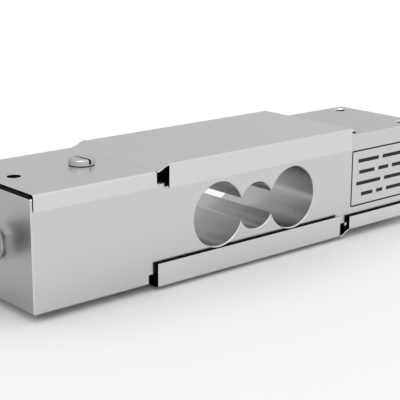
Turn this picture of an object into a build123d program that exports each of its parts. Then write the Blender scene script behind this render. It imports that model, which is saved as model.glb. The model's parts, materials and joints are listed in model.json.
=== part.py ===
from build123d import *
import math
import os

# Bending beam load cell with a binocular bore and two folded sheet covers, in millimetres.
# Origin: centre of the fixed end's four mounting holes, on the face that they open in.
# +X runs along the beam to the load end, +Y across it to the back, +Z up.

# Beam block: the load end's underside is cut back, so that only the fixed end bears
beam_length = 150.0
beam_width = 36.0
beam_height = 30.0
underside_lift = 1.6
edge_chamfer = 0.4

# Binocular bore: two large lobes and a middle lobe that joins them
flexure_centre = 75.5
lobe_spacing = 28.8
large_lobe_radius = 9.1
lobe_overlap = 1.45
bore_axis_height = 15.0
bore_rim_chamfer = 0.3

# Shallow recesses over and under the bore, where the gauges are bonded
recess_start = 36.3
recess_length = 77.4
recess_depth = 2.4

# Mounting holes at each end, tapped M5
mounting_hole_radius = 2.1
mounting_hole_depth = 12.0
mounting_hole_inset = 5.5
mounting_pitch_x = 25.0
mounting_pitch_y = 27.0
hole_mouth_chamfer = 0.45
drill_point_angle = 118.0

# Cover sheet: low over the beam's end, joggled up over the gauges
sheet_thickness = 0.4
sheet_bend_radius = 0.7
cover_side_gap = 0.8
gasket_thickness = 0.8
joggle_rise = 1.4
joggle_length = 4.3
low_flange_height = 4.4
raised_flange_height = 6.7
upper_joggle_past_edge = 1.6
lower_joggle_past_edge = -0.5
upper_free_end_past_edge = 0.2
lower_free_end_past_edge = -1.9

# Cover fixing: one slotted screw, and a second hole that is left open
screw_from_joggle = 10.3
spare_hole_inset = 6.6
cover_screw_hole_radius = 2.2
cover_spare_hole_radius = 1.85
cover_tapped_radius = 1.65
cover_tapped_depth = 9.0
screw_shank_length = 8.0
screw_head_radius = 3.6
screw_head_height = 1.8
screw_head_chamfer = 0.5
screw_slot_width = 1.0
screw_slot_depth = 1.3
screw_slot_turn = 4.0
screw_point_chamfer = 0.55
thread_clearance = 0.05

# Cable entry in the fixed end's face, and the upright passage between the recesses
cable_bore_radius = 2.5
entry_height = 15.0
passage_radius = 2.0
passage_from_recess = 3.2
entry_thread_radius = 3.4
entry_thread_depth = 10.0

# Cable gland
gland_stem_length = 9.0
gland_face_seal_thickness = 0.8
gland_face_seal_radius = 4.4
gland_hexagon_flats = 9.0
gland_hexagon_length = 2.5
gland_neck_radius = 3.5
gland_neck_length = 5.0
gland_through_radius = 2.4
gland_bush_seat_depth = 3.8
gland_bush_radius = 2.8
gland_bush_bore_radius = 2.1
gland_bush_length = 6.6
gland_cap_radius = 4.3
gland_cap_length = 9.4
gland_cap_chamfer = 1.6
gland_cap_mouth_radius = 2.6
gland_cap_gap = 0.3
gland_grip_count = 6
gland_grip_depth = 0.35
gland_grip_width = 2.2

# Strain gauges, their coatings and leads, and the bridge board
gauge_length = 9.0
gauge_width = 6.0
gauge_carrier_thickness = 0.12
gauge_foil_thickness = 0.08
gauge_strand_count = 8
gauge_strand_length = 4.2
gauge_strand_width = 0.25
gauge_strand_pitch = 0.5
gauge_tab_length = 1.3
gauge_tab_width = 1.7
coating_length = 15.0
coating_width = 11.0
coating_height = 2.2
coating_round = 0.7
coating_clearance = 0.05
board_length = 6.0
board_width = 24.0
board_thickness = 0.8
board_from_passage = 3.0
resistor_length = 2.0
resistor_width = 1.25
resistor_height = 0.6
resistor_from_board_edge = 2.0
resistor_inner_place = 5.2
resistor_outer_place = 10.8
lead_width = 1.3
lead_thickness = 0.7
lead_rest_gap = 0.05
lead_bend_radius = 1.2
lead_exit = 2.75
lead_side_run = 8.0
lead_pair_offset = 0.8
lead_straight = 2.0
lead_step_clear = 1.0
lead_on_board = 3.0

# Places worked out from the sizes above
fixed_end = -(mounting_hole_inset + mounting_pitch_x / 2)
load_end = fixed_end + beam_length
half_width = beam_width / 2
recess_near = fixed_end + recess_start
recess_far = recess_near + recess_length
load_pad_length = beam_length - recess_start - recess_length
upper_low_length = recess_start + upper_joggle_past_edge
lower_low_length = load_pad_length + lower_joggle_past_edge
upper_reach = recess_start + recess_length + upper_free_end_past_edge
lower_reach = load_pad_length + recess_length + lower_free_end_past_edge
upper_floor = beam_height - recess_depth
lower_floor = recess_depth
flexure_x = fixed_end + flexure_centre
gauge_x = {"fixed_side": flexure_x - lobe_spacing / 2, "load_side": flexure_x + lobe_spacing / 2}
middle_lobe_radius = lobe_spacing / 2 - large_lobe_radius + lobe_overlap
passage_x = recess_near + passage_from_recess
cover_half_width = half_width + cover_side_gap + sheet_thickness
seat_to_sheet_top = gasket_thickness + sheet_thickness
cut_margin = 1.0
edge_pick_tolerance = 0.01


def drilled_hole(radius, depth):
    """Cutter for a blind hole: its mouth is at the origin and it runs down, with a drill point."""
    point_height = radius / math.tan(math.radians(drill_point_angle / 2))
    outline = Polyline(
        (0, cut_margin),
        (radius + hole_mouth_chamfer, cut_margin),
        (radius + hole_mouth_chamfer, 0),
        (radius, -hole_mouth_chamfer),
        (radius, -depth),
        (0, -depth - point_height),
        close=True,
    )
    return revolve(make_face(Plane.XZ * outline), Axis.Z)


def corner_places(centre_x):
    """The four corners of a mounting hole pattern."""
    return [
        (centre_x + side_x * mounting_pitch_x / 2, side_y * mounting_pitch_y / 2)
        for side_x in (-1, 1)
        for side_y in (-1, 1)
    ]


def cover_hole_places(low_length):
    """Screw hole and spare hole of a cover, measured along it from the beam's end."""
    return low_length - screw_from_joggle, spare_hole_inset


def edges_near(edges, axis, place):
    """Those of the edges that lie at one place along an axis."""
    return edges.filter_by_position(axis, place - edge_pick_tolerance, place + edge_pick_tolerance)


def beam_block():
    """Milled bar: full height at the ends, recessed over and under the bore, with broken edges."""
    outline = Polyline(
        (fixed_end, 0),
        (recess_near, 0),
        (recess_near, lower_floor),
        (recess_far, lower_floor),
        (recess_far, underside_lift),
        (load_end, underside_lift),
        (load_end, beam_height),
        (recess_far, beam_height),
        (recess_far, upper_floor),
        (recess_near, upper_floor),
        (recess_near, beam_height),
        (fixed_end, beam_height),
        close=True,
    )
    block = extrude(make_face(Plane.XZ * outline), amount=half_width, both=True)
    side_edges = edges_near(block.edges(), Axis.Y, -half_width)
    side_edges += edges_near(block.edges(), Axis.Y, half_width)
    cross_edges = block.edges().filter_by(Axis.Y)
    end_edges = edges_near(cross_edges, Axis.X, fixed_end) + edges_near(cross_edges, Axis.X, load_end)
    return chamfer(side_edges + end_edges, edge_chamfer)


def lobe_cutter(x, radius):
    """One lobe of the binocular bore, right through the beam, with its rims broken."""
    depth = half_width + cut_margin
    flare = radius + bore_rim_chamfer + cut_margin
    outline = Polyline(
        (0, -depth),
        (flare, -depth),
        (radius, -half_width + bore_rim_chamfer),
        (radius, half_width - bore_rim_chamfer),
        (flare, depth),
        (0, depth),
        close=True,
    )
    lobe = revolve(make_face(outline), Axis.Y)
    return Pos(x, 0, bore_axis_height) * lobe


def make_beam():
    beam = beam_block()
    for x in gauge_x.values():
        beam -= lobe_cutter(x, large_lobe_radius)
    beam -= lobe_cutter(flexure_x, middle_lobe_radius)

    mounting_hole = drilled_hole(mounting_hole_radius, mounting_hole_depth)
    for x, y in corner_places(0):
        beam -= Pos(x, y, 0) * Rot(180, 0, 0) * mounting_hole
    load_centre = load_end - mounting_hole_inset - mounting_pitch_x / 2
    for x, y in corner_places(load_centre):
        beam -= Pos(x, y, beam_height) * mounting_hole

    cover_hole = drilled_hole(cover_tapped_radius, cover_tapped_depth)
    for distance in cover_hole_places(upper_low_length):
        beam -= Pos(fixed_end + distance, 0, beam_height) * cover_hole
    for distance in cover_hole_places(lower_low_length):
        beam -= Pos(load_end - distance, 0, underside_lift) * Rot(180, 0, 0) * cover_hole

    bore_length = passage_x - fixed_end
    cable_bore = Cylinder(cable_bore_radius, bore_length, align=(Align.CENTER, Align.CENTER, Align.MIN))
    beam -= Pos(fixed_end, 0, entry_height) * Rot(0, 90, 0) * cable_bore
    entry_hole = drilled_hole(entry_thread_radius, entry_thread_depth)
    beam -= Pos(fixed_end, 0, entry_height) * Rot(0, -90, 0) * entry_hole
    passage = Cylinder(passage_radius, beam_height)
    beam -= Pos(passage_x, 0, beam_height / 2) * passage
    return beam


def channel(sheet_top, flange_height, start, length):
    """A straight run of folded sheet: web, two bends and two flanges."""
    bottom = sheet_top - flange_height
    inner_bend = sheet_bend_radius - sheet_thickness

    def profile(half, top, radius):
        face = Pos(0, (top + bottom) / 2) * Rectangle(2 * half, top - bottom)
        return fillet(face.vertices().group_by(Axis.Y)[-1], radius)

    outer = profile(cover_half_width, sheet_top, sheet_bend_radius)
    inner = profile(cover_half_width - sheet_thickness, sheet_top - sheet_thickness, inner_bend)
    return extrude(Plane.YZ.offset(start) * (outer - inner), amount=length)


def joggle(start):
    """The S-bend of the web between the low run and the raised run, at constant thickness."""
    low = gasket_thickness + sheet_thickness / 2
    high = low + joggle_rise
    end = start + joggle_length
    bend = (joggle_length**2 + joggle_rise**2) / (4 * joggle_rise)
    middle = Vector((start + end) / 2, (low + high) / 2)
    normal = (middle - Vector(end, high - bend)).normalized()
    half = sheet_thickness / 2
    above = middle + normal * half
    below = middle - normal * half
    outline = [
        TangentArc((start, low + half), (above.X, above.Y), tangent=(1, 0)),
        TangentArc((end, high + half), (above.X, above.Y), tangent=(-1, 0)),
        Line((end, high + half), (end, high - half)),
        TangentArc((end, high - half), (below.X, below.Y), tangent=(-1, 0)),
        TangentArc((start, low - half), (below.X, below.Y), tangent=(1, 0)),
        Line((start, low - half), (start, low + half)),
    ]
    face = make_face([Plane.XZ * edge for edge in outline])
    return extrude(face, amount=cover_half_width, both=True)


def make_cover(low_length, reach):
    """Folded cover lying on a seat at z = 0, with the beam's end at x = 0 and its free end towards +x."""
    raised_top = seat_to_sheet_top + joggle_rise
    raised_start = low_length + joggle_length
    cover = channel(seat_to_sheet_top, low_flange_height, 0, low_length)
    cover += joggle(low_length)
    cover += channel(raised_top, raised_flange_height, raised_start, reach - raised_start)
    screw, spare = cover_hole_places(low_length)
    for distance, radius in ((screw, cover_screw_hole_radius), (spare, cover_spare_hole_radius)):
        cover -= Pos(distance, 0, seat_to_sheet_top) * Cylinder(radius, 2 * (sheet_thickness + cut_margin))
    return cover


def make_gasket(low_length, seat_length):
    """Rubber sheet between a cover's low run and the beam."""
    length = min(low_length, seat_length)
    corner = (Align.MIN, Align.CENTER, Align.MIN)
    gasket = Box(length, beam_width - 2 * edge_chamfer, gasket_thickness, align=corner)
    screw, spare = cover_hole_places(low_length)
    for distance, radius in ((screw, cover_screw_hole_radius), (spare, cover_spare_hole_radius)):
        gasket -= Pos(distance, 0, gasket_thickness / 2) * Cylinder(radius, gasket_thickness + 2 * cut_margin)
    return gasket


def make_cover_screw():
    """Slotted screw with its head's underside at z = 0."""
    upright = (Align.CENTER, Align.CENTER, Align.MIN)
    head = Cylinder(screw_head_radius, screw_head_height, align=upright)
    head = chamfer(head.edges().sort_by(Axis.Z)[-1], screw_head_chamfer)
    slot = Box(2 * (screw_head_radius + cut_margin), screw_slot_width, screw_slot_depth, align=upright)
    head -= Rot(0, 0, 90 + screw_slot_turn) * Pos(0, 0, screw_head_height - screw_slot_depth) * slot
    hanging = (Align.CENTER, Align.CENTER, Align.MAX)
    shank = Cylinder(cover_tapped_radius - thread_clearance, screw_shank_length, align=hanging)
    shank = chamfer(shank.edges().sort_by(Axis.Z)[0], screw_point_chamfer)
    return head + shank


def on_upper_seat(piece):
    """Place a cover, gasket or screw on the top of the fixed end."""
    return Pos(fixed_end, 0, beam_height) * piece


def on_lower_seat(piece):
    """Place the same under the load end, turned over about the beam's cross axis."""
    return Pos(load_end, 0, underside_lift) * Rot(0, 180, 0) * piece


def make_gauge():
    """Foil gauge with its bonded face at z = 0: a carrier with a folded grid and two tabs."""
    corner = (Align.CENTER, Align.CENTER, Align.MIN)
    gauge = Box(gauge_length, gauge_width, gauge_carrier_thickness, align=corner)
    first = -(gauge_strand_count - 1) * gauge_strand_pitch / 2
    foil_top = gauge_carrier_thickness + gauge_foil_thickness
    for index in range(gauge_strand_count):
        y = first + index * gauge_strand_pitch
        strand = Box(gauge_strand_length, gauge_strand_width, foil_top, align=corner)
        gauge += Pos(0, y, 0) * strand
        if index < gauge_strand_count - 1:
            side = 1 if index % 2 else -1
            turn = Box(gauge_strand_width, gauge_strand_pitch + gauge_strand_width, foil_top, align=corner)
            turn_x = side * (gauge_strand_length - gauge_strand_width) / 2
            gauge += Pos(turn_x, y + gauge_strand_pitch / 2, 0) * turn
    tab_x = gauge_strand_length / 2 + gauge_tab_length / 2 - gauge_strand_width
    tab_y = abs(first) + gauge_strand_width / 2 - gauge_tab_width / 2
    for side in (-1, 1):
        tab = Box(gauge_tab_length, gauge_tab_width, foil_top, align=corner)
        gauge += Pos(tab_x, side * tab_y, 0) * tab
    return gauge


def make_coating():
    """Soft pad over a gauge, hollowed underneath for it."""
    corner = (Align.CENTER, Align.CENTER, Align.MIN)
    pad = Box(coating_length, coating_width, coating_height, align=corner)
    pad = fillet(pad.edges().group_by(Axis.Z)[-1], coating_round)
    hollow_height = gauge_carrier_thickness + gauge_foil_thickness + coating_clearance
    hollow = Box(
        gauge_length + 2 * coating_clearance,
        gauge_width + 2 * coating_clearance,
        hollow_height,
        align=corner,
    )
    return pad - hollow


def make_board():
    """Small circuit board on the upper recess floor, beside the passage."""
    corner = (Align.MIN, Align.CENTER, Align.MIN)
    board = Box(board_length, board_width, board_thickness, align=corner)
    return Pos(passage_x + board_from_passage, 0, upper_floor) * board


def make_resistors():
    """Balance resistors in a row on the board."""
    corner = (Align.CENTER, Align.CENTER, Align.MIN)
    x = passage_x + board_from_passage + board_length - resistor_from_board_edge
    chips = []
    for side in (-1, 1):
        for y in (side * resistor_inner_place, side * resistor_outer_place):
            chip = Box(resistor_length, resistor_width, resistor_height, align=corner)
            chips.append(Pos(x, y, upper_floor + board_thickness) * chip)
    return Compound(children=chips)


def make_lead(points):
    """Flat ribbon lead along straight runs joined by arcs, its wide side across the beam."""
    path = FilletPolyline(*points, radius=lead_bend_radius)
    start = Plane(origin=path @ 0, x_dir=(0, 1, 0), z_dir=path % 0)
    return sweep(start * Rectangle(lead_width, lead_thickness), path=path)


def lead_routes():
    """Routes of the four leads from the gauge coatings to the board."""
    off_floor = lead_thickness / 2 + lead_rest_gap
    on_floor = upper_floor + off_floor
    on_board = upper_floor + board_thickness + off_floor
    under_floor = lower_floor - off_floor
    board_near = passage_x + board_from_passage
    board_far = board_near + board_length
    upper_end = board_far - lead_on_board
    lower_end = board_near + lead_on_board
    near_face = gauge_x["fixed_side"] - coating_length / 2
    near_back = gauge_x["fixed_side"] + coating_length / 2
    far_face = gauge_x["load_side"] - coating_length / 2
    step_foot = near_face - lead_step_clear
    step_top = board_far + lead_step_clear
    turn_x = passage_x + 2 * lead_bend_radius

    def around_coating(z):
        return [
            (far_face, lead_exit, z),
            (far_face - lead_straight, lead_exit, z),
            (near_back + lead_straight, lead_side_run, z),
        ]

    def onto_board(y):
        return [(step_foot, y, on_floor), (step_top, y, on_board), (upper_end, y, on_board)]

    def through_passage(y):
        return [(passage_x, y, under_floor), (passage_x, y, on_board), (lower_end, y, on_board)]

    return {
        "upper_lead_fixed_side": [(near_face, -lead_exit, on_floor), *onto_board(-lead_exit)],
        "upper_lead_load_side": around_coating(on_floor) + onto_board(lead_side_run),
        "lower_lead_fixed_side": [
            (near_face, -lead_pair_offset, under_floor),
            *through_passage(-lead_pair_offset),
        ],
        "lower_lead_load_side": [
            *around_coating(under_floor),
            (near_face, lead_side_run, under_floor),
            (turn_x, lead_pair_offset, under_floor),
            *through_passage(lead_pair_offset),
        ],
    }


def tube(start, length, outer, inner):
    """Ring or tube about +Z that starts at a height, before it is turned to its place."""
    along = (Align.CENTER, Align.CENTER, Align.MIN)
    body = Cylinder(outer, length, align=along) - Cylinder(inner, length, align=along)
    return Pos(0, 0, start) * body


def outside_fixed_end(piece):
    """Turn a piece that was made along +Z so that it stands out of the fixed end's face."""
    return Pos(fixed_end, 0, entry_height) * Rot(0, -90, 0) * piece


def make_gland_body():
    """Stem, hexagon and neck in one, with a seat for the bush."""
    along = (Align.CENTER, Align.CENTER, Align.MIN)
    hexagon_start = gland_face_seal_thickness
    neck_start = hexagon_start + gland_hexagon_length
    stem = Cylinder(entry_thread_radius - thread_clearance, gland_stem_length + hexagon_start, align=along)
    hexagon = RegularPolygon(gland_hexagon_flats / 2, 6, major_radius=False)
    body = Pos(0, 0, -gland_stem_length) * stem
    body += Pos(0, 0, hexagon_start) * extrude(hexagon, amount=gland_hexagon_length)
    body += Pos(0, 0, neck_start) * Cylinder(gland_neck_radius, gland_neck_length, align=along)
    whole_length = gland_stem_length + neck_start + gland_neck_length
    body -= Pos(0, 0, -gland_stem_length) * Cylinder(gland_through_radius, whole_length, align=along)
    neck_end = neck_start + gland_neck_length
    seat = Cylinder(gland_bush_radius + thread_clearance, gland_bush_seat_depth, align=along)
    return body - Pos(0, 0, neck_end - gland_bush_seat_depth) * seat


def make_gland_cap():
    """Cap over the neck, with a coned nose, grip flats and an open mouth."""
    along = (Align.CENTER, Align.CENTER, Align.MIN)
    neck_start = gland_face_seal_thickness + gland_hexagon_length
    start = neck_start + gland_cap_gap
    cap = Cylinder(gland_cap_radius, gland_cap_length, align=along)
    cap = chamfer(cap.edges().sort_by(Axis.Z)[-1], gland_cap_chamfer)
    grip = Box(2 * gland_grip_depth, gland_grip_width, gland_cap_length - 2 * gland_cap_chamfer, align=along)
    for index in range(gland_grip_count):
        cap -= Rot(0, 0, index * 360 / gland_grip_count) * Pos(gland_cap_radius, 0, 0) * grip
    thread_depth = gland_neck_length - gland_cap_gap + thread_clearance
    cap -= Cylinder(gland_neck_radius + thread_clearance, thread_depth, align=along)
    bush_depth = gland_bush_length - gland_bush_seat_depth
    cap -= Pos(0, 0, thread_depth) * Cylinder(gland_bush_radius + thread_clearance, bush_depth, align=along)
    cap -= Cylinder(gland_cap_mouth_radius, gland_cap_length, align=along)
    return Pos(0, 0, start) * cap


def make_all():
    """Every piece in its place, by node name."""
    screw_height = seat_to_sheet_top
    pieces = {
        "beam": make_beam(),
        "upper_cover": on_upper_seat(make_cover(upper_low_length, upper_reach)),
        "lower_cover": on_lower_seat(make_cover(lower_low_length, lower_reach)),
        "upper_cover_gasket": on_upper_seat(make_gasket(upper_low_length, recess_start)),
        "lower_cover_gasket": on_lower_seat(make_gasket(lower_low_length, load_pad_length)),
        "bridge_board": make_board(),
        "balance_resistors": make_resistors(),
    }

    screw = make_cover_screw()
    upper_screw_x = cover_hole_places(upper_low_length)[0]
    lower_screw_x = cover_hole_places(lower_low_length)[0]
    pieces["upper_cover_screw"] = on_upper_seat(Pos(upper_screw_x, 0, screw_height) * screw)
    pieces["lower_cover_screw"] = on_lower_seat(Pos(lower_screw_x, 0, screw_height) * screw)

    for side, x in gauge_x.items():
        upper_place = Pos(x, 0, upper_floor)
        lower_place = Pos(x, 0, lower_floor) * Rot(180, 0, 0)
        pieces["upper_gauge_" + side] = upper_place * make_gauge()
        pieces["lower_gauge_" + side] = lower_place * make_gauge()
        pieces["upper_coating_" + side] = upper_place * make_coating()
        pieces["lower_coating_" + side] = lower_place * make_coating()

    for name, points in lead_routes().items():
        pieces[name] = make_lead(points)

    bush_start = gland_face_seal_thickness + gland_hexagon_length + gland_neck_length - gland_bush_seat_depth
    face_seal = tube(0, gland_face_seal_thickness, gland_face_seal_radius, entry_thread_radius)
    bush = tube(bush_start, gland_bush_length, gland_bush_radius, gland_bush_bore_radius)
    pieces["gland_face_seal"] = outside_fixed_end(face_seal)
    pieces["gland_body"] = outside_fixed_end(make_gland_body())
    pieces["gland_bush"] = outside_fixed_end(bush)
    pieces["gland_cap"] = outside_fixed_end(make_gland_cap())
    return pieces


os.makedirs("parts", exist_ok=True)
for name, piece in make_all().items():
    export_step(piece, "parts/" + name + ".step")
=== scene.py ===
import json
import math

import bmesh
import bpy
from mathutils import Matrix, Vector


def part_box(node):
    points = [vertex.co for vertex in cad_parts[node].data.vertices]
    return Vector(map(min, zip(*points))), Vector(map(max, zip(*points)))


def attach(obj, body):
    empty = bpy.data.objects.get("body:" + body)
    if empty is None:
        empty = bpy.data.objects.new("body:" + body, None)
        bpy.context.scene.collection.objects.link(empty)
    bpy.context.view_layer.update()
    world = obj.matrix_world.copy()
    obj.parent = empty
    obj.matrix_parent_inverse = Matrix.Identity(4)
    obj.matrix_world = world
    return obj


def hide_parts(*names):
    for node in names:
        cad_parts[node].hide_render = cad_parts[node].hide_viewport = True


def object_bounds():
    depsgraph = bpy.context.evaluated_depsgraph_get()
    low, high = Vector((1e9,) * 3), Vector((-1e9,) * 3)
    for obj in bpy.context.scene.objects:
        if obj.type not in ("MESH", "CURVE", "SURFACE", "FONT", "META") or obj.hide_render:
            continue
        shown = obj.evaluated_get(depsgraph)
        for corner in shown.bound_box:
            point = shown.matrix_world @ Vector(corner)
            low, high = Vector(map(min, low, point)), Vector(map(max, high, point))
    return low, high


# Bending beam load cell, dressed: finishes, hole threads, slotted cover screws and a printed panel.
# Metres throughout. +X runs to the load end, +Y to the back, +Z up, as in the frame.

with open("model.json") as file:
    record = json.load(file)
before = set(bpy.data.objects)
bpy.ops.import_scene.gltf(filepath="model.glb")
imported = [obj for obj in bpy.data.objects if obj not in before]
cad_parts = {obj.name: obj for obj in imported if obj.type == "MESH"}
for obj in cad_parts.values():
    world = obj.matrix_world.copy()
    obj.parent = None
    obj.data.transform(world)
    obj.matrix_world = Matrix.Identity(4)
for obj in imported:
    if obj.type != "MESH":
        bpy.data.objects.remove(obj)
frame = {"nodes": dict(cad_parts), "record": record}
cad_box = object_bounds()

MM = 0.001
LEVELS = ("upper", "lower")
SIDES = ("fixed_side", "load_side")

# Camera, from the vanishing lines of the photograph
CAMERA_PLACE = Vector((-157.10, -240.46, 100.43)) * MM
CAMERA_YAW = math.radians(40.941)
CAMERA_PITCH = math.radians(15.196)
CAMERA_ROLL = math.radians(-0.236)
LENS_MM = 100.78
SENSOR_MM = 36.0
NEAREST_SEEN = 1 * MM

# Threads in the tapped holes
M5_WALL = 2.1 * MM
M5_PITCH = 0.8 * MM
M5_DEPTH = 11.0 * MM
M4_WALL = 1.65 * MM
M4_PITCH = 0.7 * MM
M4_DEPTH = 8.0 * MM
SPARE_HOLE_INSET = 6.6 * MM
HOLE_MOUTH = 0.6 * MM
THREAD_HEIGHT = 0.16 * MM
THREAD_STEPS = 28
# Shares of the ridge's height that it sinks into the wall, and of the pitch that half of it fills
THREAD_SUNK = 0.02
THREAD_HALF = 0.49

# Cover screws: a slotted head, rounded at its top edge, on an M4 thread
HEAD_HEIGHT = 1.8 * MM
HEAD_ROUND = 0.55 * MM
HEAD_UNDER_CHAMFER = 0.2 * MM
SLOT_WIDTH = 0.7 * MM
SLOT_DEPTH = 1.3 * MM
SLOT_TURN = math.radians(94.0)
SLOT_CUTTER_OVER = 1.5
SHANK_CREST = 1.6 * MM
SHANK_ROOT = 1.28 * MM
SHANK_PITCH = 0.7 * MM
SHANK_POINT = 0.55 * MM
SCREW_SEGMENTS = 72
ROUND_STEPS = 8
RINGS_PER_PITCH = 8
SHARP_EDGE = math.radians(30)

# Border and ruled rows printed on the side of the load end. Each bar of a row runs from one share
# of the border's width to another
PRINT_LEFT = 97.6 * MM
PRINT_RIGHT = 127.6 * MM
PRINT_LOW = 7.2 * MM
PRINT_HIGH = 25.1 * MM
PRINT_CORNER = 0.6 * MM
PRINT_LEAST_CORNER = 0.05 * MM
PRINT_CORNER_STEPS = 6
PRINT_LINE = 0.5 * MM
PRINT_THICKNESS = 0.015 * MM
PRINT_BAR = 1.15 * MM
PRINT_ROWS = (
    ((0.1, 0.42), (0.48, 0.88)),
    ((0.12, 0.36), (0.42, 0.58), (0.64, 0.86)),
    ((0.08, 0.46), (0.52, 0.9)),
    ((0.16, 0.34), (0.4, 0.5), (0.56, 0.82)),
)

# Where the bore's walls lie, and how far out from its axis a face of a cover or a screw looks
# outward and still takes painted shade
BORE_AXIS = Vector((0, 0, 15.0)) * MM
BORE_MIDDLE = Vector((57.5, 0, 15.0)) * MM
BORE_HALF = Vector((28.0, 17.68, 9.6)) * MM
COVER_OUTWARD = 4 * MM
SCREW_OUTWARD = -4 * MM
OUTWARD_BLEND = 1 * MM

# Floor: its card turns to white with the distance from the part, and sooner behind it
FLOOR_REACH = 6.0
FLOOR_DROP = 0.7 * MM
FLOOR_CARD = "#EDEDED"
WHITE_STARTS = 0.2
WHITE_FULL = 0.7
BEHIND = Vector((math.sin(CAMERA_YAW), math.cos(CAMERA_YAW), 0))
BEHIND_STARTS = 0.03
BEHIND_FULL = 0.1

# Strength of the dome that lights the part, of the one that metal mirrors, and of a panel in it
DOME_LOW = 0.45
DOME_HIGH = 1.4
DOME_TOWARDS = Vector((0, 0, 1))
SEEN_LOW = 0.5
SEEN_HIGH = 1.03
SEEN_TOWARDS = Vector((0, -0.8, 0.6))
PANEL_TOWARDS = Vector((-0.3, -0.2, 0.93))
PANEL_STARTS = 0.89
PANEL_FULL = 0.95
PANEL_EXTRA = 1.15

# Soft box
LAMP_PLACE = Vector((0.3, -0.4, 1.6))
LAMP_TARGET = Vector((0.05, 0, 0.015))
LAMP_SIZE = 2.0
LAMP_WATTS = 1.5

# Greys and sheens of the metals
BAR_DARK = "#CDCDCE"
BAR_LIGHT = "#D0D0D1"
# Partly the sawn ends' own grey, partly painted shade on the end faces
BAR_END_FINISH_AND_SHADE = "#ADADAE"
# Painted shade in the bore
BAR_BORE_SHADE = "#C9C9CA"
# Painted highlight on the chamfered edges
BAR_EDGE_HIGHLIGHT = "#D4D4D5"
BAR_ROUGH = 0.22
END_ROUGH = 0.35
BORE_ROUGH = 0.26
SHEET_DARK = "#D8D8D9"
SHEET_LIGHT = "#DADADB"
SHEET_SMOOTH = 0.27
SHEET_ROUGH = 0.3
SCREW_DARK = "#C2C2C2"
SCREW_LIGHT = "#CACACA"
# Black painted onto the covers' inner faces and under the screw heads as shade
PAINTED_SHADE_BLACK = "#0A0A0A"
DEFAULT_SPECULAR = 0.5

# How much of a face's normal lies along an axis when the face counts as square to it
SQUARE_STARTS = 0.85
SQUARE_FULL = 0.95

GRAIN_DETAIL = 3.0
GRAIN_ROUGHNESS = 0.6


def linear(hex_colour):
    """Linear RGBA of an sRGB hex colour."""
    channels = [int(hex_colour[i : i + 2], 16) / 255 for i in (1, 3, 5)]
    return [c / 12.92 if c <= 0.04045 else ((c + 0.055) / 1.055) ** 2.4 for c in channels] + [1]


def add(tree, kind, inputs=None, **settings):
    """Add one node to a tree with its settings, and give its inputs values or links."""
    made = tree.nodes.new("ShaderNode" + kind)
    for name, value in settings.items():
        setattr(made, name, value)
    for name, value in (inputs or {}).items():
        if isinstance(value, bpy.types.NodeSocket):
            tree.links.new(value, made.inputs[name])
        else:
            made.inputs[name].default_value = value
    return made


def new_material(name):
    """Empty procedural material, and its tree."""
    material = bpy.data.materials.new(name)
    material.use_nodes = True
    material.node_tree.nodes.clear()
    return material, material.node_tree


def grain(tree, spacing_mm, stretch):
    """Noise with its cells a real size across, drawn out by a factor along each axis."""
    place = add(tree, "TexCoord").outputs["Object"]
    scale = [1 / (spacing_mm * MM * s) for s in stretch]
    mapping = add(tree, "Mapping", {"Vector": place, "Scale": scale})
    inputs = {"Vector": mapping.outputs["Vector"], "Scale": 1.0}
    inputs.update({"Detail": GRAIN_DETAIL, "Roughness": GRAIN_ROUGHNESS})
    return add(tree, "TexNoise", inputs).outputs["Fac"]


def mix_colours(tree, factor, first, second):
    """Colour between two, each a hex value or a socket."""
    mixed = add(tree, "Mix", {"Factor": factor}, data_type="RGBA")
    for index, colour in ((6, first), (7, second)):
        if isinstance(colour, str):
            mixed.inputs[index].default_value = linear(colour)
        else:
            tree.links.new(colour, mixed.inputs[index])
    return mixed.outputs[2]


def finish_surface(tree, pattern, colour, sheen, height_mm, shader_inputs):
    """Shader whose colour, roughness and height follow one pattern.

    Colour and sheen are each a pair, for the pattern's low and high parts, or a socket.
    """
    if isinstance(colour, tuple):
        colour = mix_colours(tree, pattern, *colour)
    if isinstance(sheen, tuple):
        levels = {"Value": pattern, "To Min": sheen[0], "To Max": sheen[1]}
        sheen = add(tree, "MapRange", levels).outputs["Result"]
    bump = add(tree, "Bump", {"Height": pattern, "Strength": 1.0, "Distance": height_mm * MM})
    inputs = {"Base Color": colour, "Roughness": sheen, "Normal": bump.outputs["Normal"]}
    inputs.update(shader_inputs)
    shader = add(tree, "BsdfPrincipled", inputs)
    add(tree, "OutputMaterial", {"Surface": shader.outputs["BSDF"]})


def end_faces(tree):
    """1 on faces square to the beam's length, and 0 on those along it."""
    place = add(tree, "TexCoord")
    axes = add(tree, "SeparateXYZ", {"Vector": place.outputs["Normal"]})
    across = add(tree, "Math", {0: axes.outputs["X"]}, operation="ABSOLUTE")
    limits = {"Value": across.outputs[0], "From Min": SQUARE_STARTS, "From Max": SQUARE_FULL}
    return add(tree, "MapRange", limits).outputs["Result"]


def faces_inward(tree, limit):
    """1 on faces that look out from the beam's axis by less than a limit, and 0 on outer faces."""
    place = add(tree, "TexCoord")
    inputs = {0: place.outputs["Object"], 1: BORE_AXIS}
    out = add(tree, "VectorMath", inputs, operation="SUBTRACT")
    inputs = {0: out.outputs[0], 1: (0, 1, 1)}
    across = add(tree, "VectorMath", inputs, operation="MULTIPLY")
    inputs = {0: across.outputs[0], 1: place.outputs["Normal"]}
    turned = add(tree, "VectorMath", inputs, operation="DOT_PRODUCT")
    limits = {"From Min": limit + OUTWARD_BLEND, "From Max": limit - OUTWARD_BLEND}
    return add(tree, "MapRange", {"Value": turned.outputs["Value"], **limits}).outputs["Result"]


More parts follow.
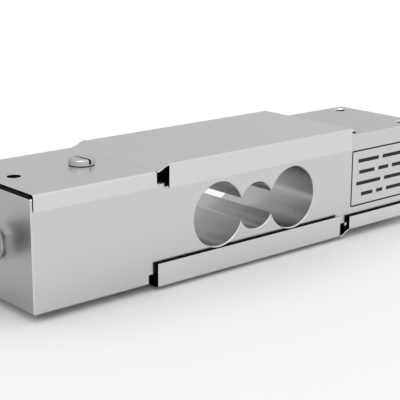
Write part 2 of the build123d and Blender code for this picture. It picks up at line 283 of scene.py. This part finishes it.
def inside_box(tree, middle, half):
    """1 inside a box, and 0 outside it."""
    place = add(tree, "TexCoord")
    inputs = {0: place.outputs["Object"], 1: middle}
    out = add(tree, "VectorMath", inputs, operation="SUBTRACT")
    away = add(tree, "VectorMath", {0: out.outputs[0]}, operation="ABSOLUTE")
    share = add(tree, "VectorMath", {0: away.outputs[0], 1: half}, operation="DIVIDE")
    furthest = largest_part(tree, share.outputs[0])
    return add(tree, "Math", {0: furthest, 1: 1.0}, operation="LESS_THAN").outputs[0]


def largest_part(tree, vector):
    """Largest of a vector's three parts."""
    axes = add(tree, "SeparateXYZ", {"Vector": vector})
    inputs = {0: axes.outputs["X"], 1: axes.outputs["Y"]}
    pair = add(tree, "Math", inputs, operation="MAXIMUM")
    inputs = {0: pair.outputs[0], 1: axes.outputs["Z"]}
    return add(tree, "Math", inputs, operation="MAXIMUM").outputs[0]


def slanting_faces(tree):
    """1 on faces that lean away from all three axes, such as chamfers, and 0 on square ones."""
    place = add(tree, "TexCoord")
    turned = add(tree, "VectorMath", {0: place.outputs["Normal"]}, operation="ABSOLUTE")
    inputs = {0: largest_part(tree, turned.outputs[0]), 1: SQUARE_STARTS}
    return add(tree, "Math", inputs, operation="LESS_THAN").outputs[0]


def milled_aluminium():
    """Bar planed along its length and clear anodised: an even satin grey with the faintest lay."""
    material, tree = new_material("milled_aluminium_clear_anodised")
    # Cutter lines are about 0.1 mm apart, drawn at 0.5 mm so that they show
    lay = grain(tree, 0.5, (40, 1, 1))
    side = mix_colours(tree, lay, BAR_DARK, BAR_LIGHT)
    # Sawn and machined square across the grain, the ends are duller; their darker grey is partly
    # that finish and partly painted shade
    ends = end_faces(tree)
    end_finish_and_shade = mix_colours(tree, ends, side, BAR_END_FINISH_AND_SHADE)
    # Painted highlight: the edges, chamfered last by a sharp cutter, are coloured brighter than the
    # faces
    edge_highlighted = mix_colours(tree, slanting_faces(tree), end_finish_and_shade, BAR_EDGE_HIGHLIGHT)
    # The bore is reamed, which leaves it duller than the planed faces; its slightly darker grey is
    # painted shade in the bore
    bore = inside_box(tree, BORE_MIDDLE, BORE_HALF)
    colour = mix_colours(tree, bore, edge_highlighted, BAR_BORE_SHADE)
    levels = {"Value": ends, "To Min": BAR_ROUGH, "To Max": END_ROUGH}
    face_sheen = add(tree, "MapRange", levels).outputs["Result"]
    levels = {"Value": bore, "To Min": face_sheen, "To Max": BORE_ROUGH}
    sheen = add(tree, "MapRange", levels).outputs["Result"]
    finish_surface(tree, lay, colour, sheen, 0.0003, {"Metallic": 1.0})
    return material


def rolled_stainless():
    """Bright rolled stainless sheet: fine lines along the rolling, and painted black shade on the
    inside and the sheared edges.
    """
    material, tree = new_material("rolled_stainless_sheet")
    # Rolling lines are about 0.05 mm apart, drawn at 0.4 mm so that they show
    lay = grain(tree, 0.4, (60, 1, 1))
    # Painted shade: the inside and the sheared edges are coloured black, which darkens the gaps
    inside = faces_inward(tree, COVER_OUTWARD)
    outside = mix_colours(tree, lay, SHEET_DARK, SHEET_LIGHT)
    colour = mix_colours(tree, inside, outside, PAINTED_SHADE_BLACK)
    metal = add(tree, "Math", {0: 1.0, 1: inside}, operation="SUBTRACT").outputs[0]
    inputs = {0: metal, 1: DEFAULT_SPECULAR}
    shine = add(tree, "Math", inputs, operation="MULTIPLY").outputs[0]
    inputs = {"Metallic": metal, "Specular IOR Level": shine}
    finish_surface(tree, lay, colour, (SHEET_SMOOTH, SHEET_ROUGH), 0.0002, inputs)
    return material


def tapped_thread(name, dark, light):
    """Cut thread: dull, and painted dark as the shade that falls between its ridges, where little
    light gets down.
    """
    material, tree = new_material(name)
    # Tap marks are about 0.05 mm apart, drawn at 0.2 mm so that they show
    marks = grain(tree, 0.2, (1, 1, 1))
    finish_surface(tree, marks, (dark, light), (0.4, 0.55), 0.0006, {"Metallic": 1.0})
    return material


def nickel_plated_steel():
    """Turned screw, nickel plated: bright, with soft turning marks and painted shade where the head
    meets its seat.
    """
    material, tree = new_material("nickel_plated_turned_steel")
    # Turning marks are about 0.1 mm apart, drawn at 0.3 mm so that they show
    marks = grain(tree, 0.3, (1, 1, 4))
    # Painted shade: a dark line where the head meets its seat
    plated = mix_colours(tree, marks, SCREW_DARK, SCREW_LIGHT)
    colour = mix_colours(tree, faces_inward(tree, SCREW_OUTWARD), plated, PAINTED_SHADE_BLACK)
    finish_surface(tree, marks, colour, (0.09, 0.13), 0.0001, {"Metallic": 1.0})
    return material


def nickel_plated_brass():
    """Milled and plated gland body: bright, a little warm."""
    material, tree = new_material("nickel_plated_brass")
    # Milling marks are about 0.1 mm apart, drawn at 0.35 mm so that they show
    marks = grain(tree, 0.35, (4, 1, 1))
    finish_surface(tree, marks, ("#DEDEDC", "#E6E6E4"), (0.18, 0.26), 0.0003, {"Metallic": 1.0})
    return material


def moulded_nylon():
    """Glass-filled nylon, moulded black: a fine spark-eroded texture with a dull sheen."""
    material, tree = new_material("moulded_black_nylon")
    # The mould's eroded pits are about 0.03 mm across, drawn at 0.3 mm so that they show
    texture = grain(tree, 0.3, (1, 1, 1))
    finish_surface(tree, texture, ("#0B0B0C", "#131314"), (0.18, 0.26), 0.001, {"IOR": 1.55})
    return material


def moulded_rubber():
    """Chloroprene sheet and rings: dark and matt, faintly dusty."""
    material, tree = new_material("moulded_black_chloroprene")
    # Specks of dust are about 0.05 mm across, drawn at 0.25 mm so that they show
    texture = grain(tree, 0.25, (1, 1, 1))
    inputs = {"IOR": 1.52, "Specular IOR Level": 0.15}
    finish_surface(tree, texture, ("#070707", "#0D0D0D"), (0.75, 0.9), 0.008, inputs)
    return material


def polyimide_gauge():
    """Amber film with a foil grid under it: glossy and warm."""
    material, tree = new_material("polyimide_film_foil_gauge")
    # The foil's strands are 0.5 mm apart
    texture = grain(tree, 0.5, (1, 1, 1))
    finish_surface(tree, texture, ("#8A4E12", "#A5641B"), (0.2, 0.32), 0.001, {"IOR": 1.7})
    return material


def silicone_gel():
    """Poured silicone that skins over smooth: milky and soft edged."""
    material, tree = new_material("poured_clear_silicone")
    # The skin has soft ripples of about 1.2 mm
    texture = grain(tree, 1.2, (1, 1, 1))
    inputs = {"IOR": 1.41, "Transmission Weight": 0.25}
    finish_surface(tree, texture, ("#B9BAB2", "#CDCEC8"), (0.18, 0.3), 0.01, inputs)
    return material


def solder_mask():
    """Glass-epoxy board under green mask: glossy, with the weave just showing."""
    material, tree = new_material("green_masked_glass_epoxy")
    # The cloth's yarns are about 0.5 mm apart
    weave = grain(tree, 0.5, (3, 1, 1))
    finish_surface(tree, weave, ("#0E3B22", "#175231"), (0.25, 0.38), 0.002, {"IOR": 1.55})
    return material


def fired_ceramic():
    """Chip resistor body: dark glaze over ceramic."""
    material, tree = new_material("glazed_chip_ceramic")
    # Grains in the glaze are about 0.02 mm across, drawn at 0.2 mm so that they show
    texture = grain(tree, 0.2, (1, 1, 1))
    finish_surface(tree, texture, ("#121214", "#222226"), (0.25, 0.4), 0.001, {"IOR": 1.6})
    return material


def lead_insulation():
    """Extruded fluoropolymer over the lead: slick, with a waxy shine."""
    material, tree = new_material("extruded_red_fluoropolymer")
    # Flow marks of the die are about 0.1 mm wide, drawn at 0.6 mm so that they show
    texture = grain(tree, 0.6, (1, 1, 1))
    finish_surface(tree, texture, ("#8E1812", "#A6241C"), (0.28, 0.4), 0.002, {"IOR": 1.35})
    return material


def grey_rubber():
    """Pale grey silicone ring under the gland: matt, with a soft waxy sheen."""
    material, tree = new_material("moulded_pale_grey_silicone")
    # The mould's texture is about 0.05 mm, drawn at 0.25 mm so that it shows
    texture = grain(tree, 0.25, (1, 1, 1))
    finish_surface(tree, texture, ("#C6C6C5", "#CECECD"), (0.5, 0.65), 0.002, {"IOR": 1.41})
    return material


def screen_ink():
    """Screen-printed ink on the bar: near black, matt, a little thin in places."""
    material, tree = new_material("screen_printed_black_ink")
    # The screen's mesh is about 0.1 mm, drawn at 0.4 mm so that it shows
    texture = grain(tree, 0.4, (1, 1, 1))
    finish_surface(tree, texture, ("#111112", "#1C1C1D"), (0.6, 0.75), 0.0005, {"IOR": 1.45})
    return material


def dress(nodes, material):
    """Give CAD nodes one material."""
    for name in nodes:
        slots = frame["nodes"][name].data.materials
        slots.clear()
        slots.append(material)


def new_piece(name, mesh, material):
    """Object for a mesh that belongs to the part."""
    mesh.materials.append(material)
    piece = bpy.data.objects.new(name, mesh)
    bpy.context.scene.collection.objects.link(piece)
    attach(piece, "root")
    return piece


def smooth_shaded(mesh):
    """Smooth shading, with sharp edges left crisp."""
    mesh.polygons.foreach_set("use_smooth", [True] * len(mesh.polygons))
    mesh.set_sharp_from_angle(angle=SHARP_EDGE)
    return mesh


def finished_mesh(shape, name):
    """Mesh of a shape, with its faces turned outward."""
    bmesh.ops.recalc_face_normals(shape, faces=shape.faces)
    mesh = bpy.data.meshes.new(name)
    shape.to_mesh(mesh)
    shape.free()
    return mesh


def shank_radius(along, angle):
    """Radius of the screw's thread at a depth and an angle: a sawtooth that climbs once a turn."""
    share = (along / SHANK_PITCH - angle / (2 * math.pi)) % 1
    return SHANK_ROOT + (SHANK_CREST - SHANK_ROOT) * (1 - abs(2 * share - 1))


def screw_rings(head_radius, length):
    """Rings of the screw from its head's top to its point: each a height and a radius by angle."""
    rings = []
    for step in range(ROUND_STEPS + 1):
        turn = math.radians(90 * step / ROUND_STEPS)
        height = HEAD_HEIGHT - HEAD_ROUND * (1 - math.cos(turn))
        radius = head_radius - HEAD_ROUND * (1 - math.sin(turn))
        rings.append((height, lambda angle, radius=radius: radius))
    rings.append((HEAD_UNDER_CHAMFER, lambda angle: head_radius))
    rings.append((0.0, lambda angle: head_radius - HEAD_UNDER_CHAMFER))
    turns = (length - HEAD_HEIGHT - SHANK_POINT) / SHANK_PITCH
    count = round(turns * RINGS_PER_PITCH)
    for step in range(count + 1):
        along = step * SHANK_PITCH / RINGS_PER_PITCH
        rings.append((-along, lambda angle, along=along: shank_radius(along, angle)))
    tip = length - HEAD_HEIGHT
    rings.append((-tip, lambda angle: SHANK_CREST - SHANK_POINT))
    return rings


def turned_screw(name, head_radius, length):
    """Closed mesh of the screw without its slot, with the head's underside at zero height."""
    shape = bmesh.new()
    angles = [2 * math.pi * i / SCREW_SEGMENTS for i in range(SCREW_SEGMENTS)]
    loops = []
    for height, radius_at in screw_rings(head_radius, length):
        outline = [(radius_at(a) * math.cos(a), radius_at(a) * math.sin(a), height) for a in angles]
        loops.append([shape.verts.new(point) for point in outline])
    shape.faces.new(loops[0])
    shape.faces.new(reversed(loops[-1]))
    for one, two in zip(loops, loops[1:]):
        for i in range(SCREW_SEGMENTS):
            j = (i + 1) % SCREW_SEGMENTS
            shape.faces.new((one[j], one[i], two[i], two[j]))
    return finished_mesh(shape, name)


def cut_slot(mesh, head_radius):
    """The same mesh with the driver's slot cut across its head."""
    low, high = HEAD_HEIGHT - SLOT_DEPTH, HEAD_HEIGHT * SLOT_CUTTER_OVER
    size = Vector((2 * head_radius * SLOT_CUTTER_OVER, SLOT_WIDTH, high - low))
    shape = bmesh.new()
    bmesh.ops.create_cube(shape, size=1.0)
    place = Matrix.Rotation(SLOT_TURN, 4, "Z") @ Matrix.Translation((0, 0, (low + high) / 2))
    bmesh.ops.transform(shape, matrix=place @ Matrix.Diagonal((*size, 1)), verts=shape.verts)
    cutter_mesh = bpy.data.meshes.new("slot_cutter")
    shape.to_mesh(cutter_mesh)
    shape.free()
    cutter = bpy.data.objects.new("slot_cutter", cutter_mesh)
    blank = bpy.data.objects.new("screw_blank", mesh)
    for made in (cutter, blank):
        bpy.context.scene.collection.objects.link(made)
    cut = blank.modifiers.new("slot", "BOOLEAN")
    cut.operation = "DIFFERENCE"
    cut.solver = "EXACT"
    cut.object = cutter
    bpy.context.view_layer.update()
    state = bpy.context.evaluated_depsgraph_get()
    slotted = bpy.data.meshes.new_from_object(blank.evaluated_get(state))
    for made in (cutter, blank):
        bpy.data.objects.remove(made)
    return slotted


def cover_screw(level, metal):
    """Detailed screw in the place of a plain one, its head towards the outside of its cover."""
    node = f"{level}_cover_screw"
    low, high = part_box(node)
    head_radius = (high.x - low.x) / 2
    blank = turned_screw(f"{level}_slotted_screw", head_radius, high.z - low.z)
    mesh = cut_slot(blank, head_radius)
    middle = (low + high) / 2
    if level == "upper":
        place = Matrix.Translation((middle.x, middle.y, high.z - HEAD_HEIGHT))
    else:
        seat = Matrix.Translation((middle.x, middle.y, low.z + HEAD_HEIGHT))
        place = seat @ Matrix.Rotation(math.pi, 4, "Y")
    mesh.transform(place)
    screw = new_piece(f"{level}_slotted_screw", smooth_shaded(mesh), metal)
    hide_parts(node)


def thread_mesh(name, wall, pitch, depth, mouths):
    """Ridges of inside threads: one helix for each hole mouth, running in along its direction."""
    shape = bmesh.new()
    turns = (depth - HOLE_MOUTH) / pitch
    steps = round(turns * THREAD_STEPS)
    root = wall + THREAD_HEIGHT * THREAD_SUNK
    for x, y, z, into in mouths:
        rings = []
        for step in range(steps + 1):
            angle = 2 * math.pi * step / THREAD_STEPS
            along = HOLE_MOUTH + pitch * step / THREAD_STEPS
            ends = min(step, steps - step) / THREAD_STEPS
            crest = wall - THREAD_HEIGHT * min(1.0, ends)
            cosine, sine = math.cos(angle), math.sin(angle)
            ring = []
            for radius, shift in ((root, -THREAD_HALF), (crest, 0.0), (root, THREAD_HALF)):
                height = z + into * (along + shift * pitch)
                ring.append(shape.verts.new((x + radius * cosine, y + radius * sine, height)))
            rings.append(ring)
        for one, two in zip(rings, rings[1:]):
            for i in range(3):
                j = (i + 1) % 3
                shape.faces.new((one[i], one[j], two[j], two[i]))
        shape.faces.new(rings[0])
        shape.faces.new(reversed(rings[-1]))
    return finished_mesh(shape, name)


def mount(name):
    """The record's own row of one mount."""
    return next(m for m in frame["record"]["mounts"] if m["name"] == name)


def mounting_threads(metal):
    """Threads in the two four-hole patterns, at the record's own places."""
    mouths = []
    for name, into in (("fixed_end_holes", 1), ("load_end_holes", -1)):
        pattern = mount(name)
        x, y, z = pattern["pos_m"]
        half_x = pattern["dims"]["spacing_x_mm"] * MM / 2
        half_y = pattern["dims"]["spacing_y_mm"] * MM / 2
        mouths += [(x + i * half_x, y + j * half_y, z, into) for i in (-1, 1) for j in (-1, 1)]
    mesh = thread_mesh("mounting_hole_threads", M5_WALL, M5_PITCH, M5_DEPTH, mouths)
    new_piece("mounting_hole_threads", mesh, metal)


def spare_hole_threads(metal):
    """Threads in the tapped holes that lie open under the covers' spare holes."""
    low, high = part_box("beam")
    mouths = [
        (low.x + SPARE_HOLE_INSET, 0, high.z, -1),
        (high.x - SPARE_HOLE_INSET, 0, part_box("lower_cover_gasket")[1].z, 1),
    ]
    mesh = thread_mesh("spare_hole_threads", M4_WALL, M4_PITCH, M4_DEPTH, mouths)
    new_piece("spare_hole_threads", mesh, metal)


def box_prism(shape, corners, near, far):
    """Closed flat plate between two depths, from its outline in x and z."""
    front = [shape.verts.new((x, near, z)) for x, z in corners]
    back = [shape.verts.new((x, far, z)) for x, z in corners]
    shape.faces.new(front)
    shape.faces.new(reversed(back))
    for i in range(len(corners)):
        j = (i + 1) % len(corners)
        shape.faces.new((front[j], front[i], back[i], back[j]))


def rounded_corners(inset):
    """Outline of the border, drawn in by an inset, with round corners."""
    left, right = PRINT_LEFT + inset, PRINT_RIGHT - inset
    low, high = PRINT_LOW + inset, PRINT_HIGH - inset
    radius = max(PRINT_CORNER - inset, PRINT_LEAST_CORNER)
    centres = (
        (right - radius, high - radius, 0),
        (left + radius, high - radius, 90),
        (left + radius, low + radius, 180),
        (right - radius, low + radius, 270),
    )
    points = []
    for x, z, start in centres:
        for step in range(PRINT_CORNER_STEPS + 1):
            angle = math.radians(start + 90 * step / PRINT_CORNER_STEPS)
            points.append((x + radius * math.cos(angle), z + radius * math.sin(angle)))
    return points


def printed_panel(ink):
    """Thin printed border with four plain ruled rows in it."""
    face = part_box("beam")[0].y
    near, far = face - PRINT_THICKNESS, face
    shape = bmesh.new()
    outer, inner = rounded_corners(0), rounded_corners(PRINT_LINE)
    count = len(outer)
    loops = [
        [shape.verts.new((x, y, z)) for x, z in points]
        for points, y in ((outer, near), (inner, near), (inner, far), (outer, far))
    ]
    for one, two in zip(loops, loops[1:] + loops[:1]):
        for i in range(count):
            j = (i + 1) % count
            shape.faces.new((one[i], one[j], two[j], two[i]))
    width = PRINT_RIGHT - PRINT_LEFT
    for row, bars in enumerate(PRINT_ROWS):
        z = PRINT_HIGH - (PRINT_HIGH - PRINT_LOW) * (row + 1) / (len(PRINT_ROWS) + 1)
        low, high = z - PRINT_BAR / 2, z + PRINT_BAR / 2
        for start, end in bars:
            left, right = PRINT_LEFT + width * start, PRINT_LEFT + width * end
            corners = ((left, low), (right, low), (right, high), (left, high))
            box_prism(shape, corners, near, far)
    new_piece("printed_panel", finished_mesh(shape, "printed_panel"), ink)


def shown_white(tree):
    """1 where the camera, a metal's shine or a clear body sees the surface, and 0 elsewhere."""
    path = add(tree, "LightPath")
    inputs = {0: path.outputs["Is Camera Ray"], 1: path.outputs["Is Glossy Ray"]}
    seen = add(tree, "Math", inputs, operation="MAXIMUM")
    inputs = {0: seen.outputs[0], 1: path.outputs["Is Transmission Ray"]}
    return add(tree, "Math", inputs, operation="MAXIMUM").outputs[0]


def studio_floor(height):
    """Wide pale floor that keeps the object's shadow and runs to white in the distance."""
    mesh = bpy.data.meshes.new("studio_floor")
    quarters = ((-1, -1), (1, -1), (1, 1), (-1, 1))
    corners = [(FLOOR_REACH * x, FLOOR_REACH * y, height) for x, y in quarters]
    mesh.from_pydata(corners, [], [(0, 1, 2, 3)])
    floor = bpy.data.objects.new("studio_floor", mesh)
    bpy.context.scene.collection.objects.link(floor)
    material, tree = new_material("studio_floor_pale_card")
    place = add(tree, "TexCoord")
    middle = (cad_box[0] + cad_box[1]) / 2
    inputs = {0: place.outputs["Object"], 1: (middle.x, middle.y, height)}
    away = add(tree, "VectorMath", inputs, operation="SUBTRACT")
    reach = add(tree, "VectorMath", {0: away.outputs[0]}, operation="LENGTH")
    inputs = {0: away.outputs[0], 1: BEHIND}
    behind = add(tree, "VectorMath", inputs, operation="DOT_PRODUCT")
    shares = []
    for measure, start, full in (
        (reach, WHITE_STARTS, WHITE_FULL),
        (behind, BEHIND_STARTS, BEHIND_FULL),
    ):
        inputs = {"Value": measure.outputs["Value"], "From Min": start, "From Max": full}
        share = add(tree, "MapRange", inputs, interpolation_type="SMOOTHSTEP")
        shares.append(share.outputs["Result"])
    far = add(tree, "Math", {0: shares[0], 1: shares[1]}, operation="MAXIMUM")
    card = add(tree, "BsdfDiffuse", {"Color": linear(FLOOR_CARD)})
    white = add(tree, "Emission", {"Color": linear("#FFFFFF"), "Strength": 1.0})
    share = add(tree, "Math", {0: shown_white(tree), 1: far.outputs[0]}, operation="MULTIPLY")
    mixed = add(tree, "MixShader", {0: share.outputs[0], 1: card.outputs[0], 2: white.outputs[0]})
    add(tree, "OutputMaterial", {"Surface": mixed.outputs[0]})
    mesh.materials.append(material)


def dome_light(tree, towards, start, full, low, high):
    """Strength of the dome, which rises from low to high as a ray turns towards a direction."""
    place = add(tree, "TexCoord")
    inputs = {0: place.outputs["Generated"], 1: towards}
    facing = add(tree, "VectorMath", inputs, operation="DOT_PRODUCT")
    inputs = {"Value": facing.outputs["Value"], "From Min": start, "From Max": full}
    inputs.update({"To Min": low, "To Max": high})
    return add(tree, "MapRange", inputs).outputs["Result"]


def studio_world():
    """Plain white dome, brighter overhead than at the horizon, and evener where it is mirrored."""
    world = bpy.data.worlds.new("studio")
    bpy.context.scene.world = world
    world.use_nodes = True
    tree = world.node_tree
    tree.nodes.clear()
    plain = dome_light(tree, DOME_TOWARDS, 0, 1, DOME_LOW, DOME_HIGH)
    mirrored = dome_light(tree, SEEN_TOWARDS, -1, 1, SEEN_LOW, SEEN_HIGH)
    # A white panel overhead glints in broken edges and round screw heads, and lights nothing
    panel = dome_light(tree, PANEL_TOWARDS, PANEL_STARTS, PANEL_FULL, 0, PANEL_EXTRA)
    seen = add(tree, "Math", {0: mirrored, 1: panel}, operation="ADD").outputs[0]
    domes = [
        add(tree, "Background", {"Color": linear("#FFFFFF"), "Strength": strength}).outputs[0]
        for strength in (plain, seen)
    ]
    mixed = add(tree, "MixShader", {0: shown_white(tree), 1: domes[0], 2: domes[1]})
    add(tree, "OutputWorld", {"Surface": mixed.outputs[0]})


def soft_box():
    """Large square soft light that faces the object."""
    lamp = bpy.data.lights.new("overhead_soft_box", "AREA")
    lamp.shape = "SQUARE"
    lamp.size = LAMP_SIZE
    lamp.energy = LAMP_WATTS
    box = bpy.data.objects.new("overhead_soft_box", lamp)
    box.location = LAMP_PLACE
    box.rotation_euler = (LAMP_TARGET - LAMP_PLACE).to_track_quat("-Z", "Y").to_euler()
    bpy.context.scene.collection.objects.link(box)


def photo_camera():
    """Camera at the photograph's place and lens."""
    sin_yaw, cos_yaw = math.sin(CAMERA_YAW), math.cos(CAMERA_YAW)
    sin_pitch, cos_pitch = math.sin(CAMERA_PITCH), math.cos(CAMERA_PITCH)
    forward = Vector((sin_yaw * cos_pitch, cos_yaw * cos_pitch, -sin_pitch))
    level = Vector((cos_yaw, -sin_yaw, 0))
    down = forward.cross(level)
    sin_roll, cos_roll = math.sin(CAMERA_ROLL), math.cos(CAMERA_ROLL)
    right = cos_roll * level + sin_roll * down
    up = sin_roll * level - cos_roll * down
    lens = bpy.data.cameras.new("photo_camera")
    lens.lens = LENS_MM
    lens.sensor_width = SENSOR_MM
    lens.clip_start = NEAREST_SEEN
    camera = bpy.data.objects.new("photo_camera", lens)
    axes = Matrix((right, up, -forward)).transposed()
    camera.matrix_world = Matrix.Translation(CAMERA_PLACE) @ axes.to_4x4()
    bpy.context.scene.collection.objects.link(camera)
    bpy.context.scene.camera = camera


def over_and_under(kind):
    """Nodes of one kind, over and under each large lobe."""
    return [f"{level}_{kind}_{side}" for level in LEVELS for side in SIDES]


dress(["beam"], milled_aluminium())
dress(["upper_cover", "lower_cover"], rolled_stainless())
dress(["upper_cover_gasket", "lower_cover_gasket", "gland_bush"], moulded_rubber())
dress(["gland_face_seal"], grey_rubber())
dress(["gland_body"], nickel_plated_brass())
dress(["gland_cap"], moulded_nylon())
dress(over_and_under("gauge"), polyimide_gauge())
dress(over_and_under("coating"), silicone_gel())
dress(over_and_under("lead"), lead_insulation())
dress(["bridge_board"], solder_mask())
dress(["balance_resistors"], fired_ceramic())

# Both thread greys are painted shade in the holes, the darker one where the holes lie under the
# covers
mounting_threads(tapped_thread("cut_thread_in_aluminium", "#7A7A7C", "#8C8C8E"))
spare_hole_threads(tapped_thread("cut_thread_under_cover", "#1C1C1D", "#2A2A2C"))
screw_metal = nickel_plated_steel()
for level in LEVELS:
    cover_screw(level, screw_metal)
printed_panel(screen_ink())

studio_floor(cad_box[0].z - FLOOR_DROP)
studio_world()
soft_box()
photo_camera()

bpy.context.scene.view_settings.view_transform = "Standard"
